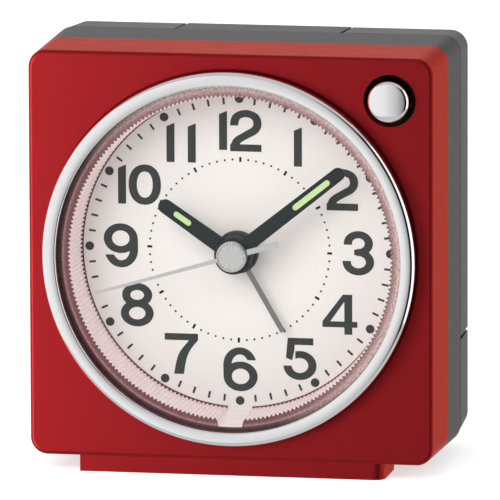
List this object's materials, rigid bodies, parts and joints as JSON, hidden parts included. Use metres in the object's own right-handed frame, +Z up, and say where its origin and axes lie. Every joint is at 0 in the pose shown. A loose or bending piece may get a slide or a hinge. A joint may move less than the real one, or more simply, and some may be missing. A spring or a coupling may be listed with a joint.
{
  "type": "travel alarm clock",
  "caption": "Small square analogue alarm clock on a low foot, with a round chromed bezel, ribbed clear lens, four hands, a round snooze button and a two-part rear cover.",
  "frame": {"origin": "on the table, under the middle of the clock's box", "axes": "+X to the right of the dial, +Y to the rear (the dial faces -Y), +Z up; the hands turn about +Y"},
  "size_m": [0.079, 0.0448, 0.0817],
  "materials": {
    "red_paint": "satin metallic lacquer on moulded plastic",
    "dark_grey_plastic": "fine moulded texture",
    "chrome": "bright plating",
    "clear_plastic": "clear moulded plastic",
    "dial_white": "printed warm white",
    "hand_grey": "matt dark grey",
    "hand_silver": "brushed",
    "natural_acetal": "moulded",
    "black_plastic": "moulded",
    "steel": "bright",
    "brass": "machined",
    "copper_wire": "enamelled",
    "board_green": "solder resist",
    "cell_wrap": null,
    "wire_sleeve": "pvc"
  },
  "bodies": {
    "case": {"front_case": "red_paint", "mid_case": "dark_grey_plastic", "back_cover": "dark_grey_plastic", "seam_gasket": "black_plastic", "bezel_ring": "chrome", "lens": "clear_plastic", "dial": "dial_white", "button_spring": "steel", "switch_board": "board_green", "switch_body": "black_plastic", "movement_front_plate": "black_plastic", "train_bridge": "black_plastic", "movement_rear_plate": "black_plastic", "movement_screws": "steel", "plate_screws": "steel", "board_screws": "steel", "case_screws": "steel", "stator": "steel", "coil_core": "steel", "coil_bobbin": "natural_acetal", "coil_winding": "copper_wire", "circuit_board": "board_green", "sealed_chip": "black_plastic", "quartz_crystal": "steel", "buzzer": "black_plastic", "alarm_switch_body": "black_plastic", "dial_lamp": "clear_plastic", "battery_cell": "cell_wrap", "positive_contact": "steel", "negative_contact": "steel", "contact_spring": "steel", "battery_leads": "wire_sleeve", "switch_leads": "wire_sleeve"},
    "second": {"second_hand": "hand_silver", "hub_cap": "hand_silver", "seconds_wheel": "natural_acetal"},
    "intermediate": {"intermediate_wheel": "natural_acetal"},
    "rotor": {"rotor": "natural_acetal"},
    "third": {"third_wheel": "natural_acetal"},
    "centre": {"centre_wheel": "brass"},
    "minute": {"minute_hand": "hand_grey", "cannon_pinion": "natural_acetal"},
    "time_setting": {"minute_wheel": "natural_acetal", "time_knob": "black_plastic"},
    "hour": {"hour_hand": "hand_grey", "hour_wheel": "natural_acetal"},
    "alarm": {"alarm_hand": "hand_silver", "alarm_wheel": "natural_acetal"},
    "alarm_setting": {"alarm_pinion": "natural_acetal", "alarm_knob": "black_plastic"},
    "button": {"snooze_button": "chrome", "switch_plunger": "black_plastic"},
    "alarm_switch": {"alarm_switch_slider": "black_plastic"},
    "door": {"battery_door": "dark_grey_plastic"}
  },
  "joints": [
    {"name": "second_hand_turn", "type": "hinge", "parent": "case", "child": "second", "pos_m": [0, -0.005, 0.0422], "axis": [0, 1, 0], "continuous": true},
    {"name": "intermediate_turn", "type": "hinge", "parent": "case", "child": "intermediate", "pos_m": [0, -0.005, 0.04868], "axis": [0, 1, 0], "continuous": true},
    {"name": "rotor_turn", "type": "hinge", "parent": "case", "child": "rotor", "pos_m": [0, -0.005, 0.05428], "axis": [0, 1, 0], "continuous": true},
    {"name": "third_turn", "type": "hinge", "parent": "case", "child": "third", "pos_m": [0, -0.005, 0.03572], "axis": [0, 1, 0], "continuous": true},
    {"name": "centre_wheel_turn", "type": "hinge", "parent": "case", "child": "centre", "pos_m": [0, -0.005, 0.0422], "axis": [0, 1, 0], "continuous": true},
    {"name": "minute_hand_turn", "type": "hinge", "parent": "case", "child": "minute", "pos_m": [0, -0.005, 0.0422], "axis": [0, 1, 0], "continuous": true},
    {"name": "time_knob_turn", "type": "hinge", "parent": "case", "child": "time_setting", "pos_m": [-0.007, -0.005, 0.0422], "axis": [0, 1, 0], "continuous": true},
    {"name": "hour_hand_turn", "type": "hinge", "parent": "case", "child": "hour", "pos_m": [0, -0.005, 0.0422], "axis": [0, 1, 0], "continuous": true},
    {"name": "alarm_hand_turn", "type": "hinge", "parent": "case", "child": "alarm", "pos_m": [0, -0.005, 0.0422], "axis": [0, 1, 0], "continuous": true},
    {"name": "alarm_knob_turn", "type": "hinge", "parent": "case", "child": "alarm_setting", "pos_m": [0.009, -0.005, 0.0422], "axis": [0, 1, 0], "continuous": true},
    {"name": "snooze_press", "type": "slide", "parent": "case", "child": "button", "axis": [0, 1, 0], "range_m": [0, 0.0009], "stiffness_N_per_m": 400, "springref_m": -0.001, "deforming": ["button_spring"]},
    {"name": "alarm_switch_slide", "type": "slide", "parent": "case", "child": "alarm_switch", "axis": [1, 0, 0], "range_m": [0, 0.004]},
    {"name": "battery_door_slide", "type": "slide", "parent": "case", "child": "door", "axis": [0, 1, 0], "range_m": [0, 0.025]}
  ],
  "couplings": [
    {"joint": "intermediate_turn", "follows": "second_hand_turn", "ratio": -5},
    {"joint": "rotor_turn", "follows": "second_hand_turn", "ratio": 30},
    {"joint": "third_turn", "follows": "second_hand_turn", "ratio": -0.125},
    {"joint": "centre_wheel_turn", "follows": "second_hand_turn", "ratio": 0.016667},
    {"joint": "time_knob_turn", "follows": "minute_hand_turn", "ratio": -0.33333},
    {"joint": "hour_hand_turn", "follows": "minute_hand_turn", "ratio": 0.083333},
    {"joint": "alarm_knob_turn", "follows": "alarm_hand_turn", "ratio": -2}
  ]
}
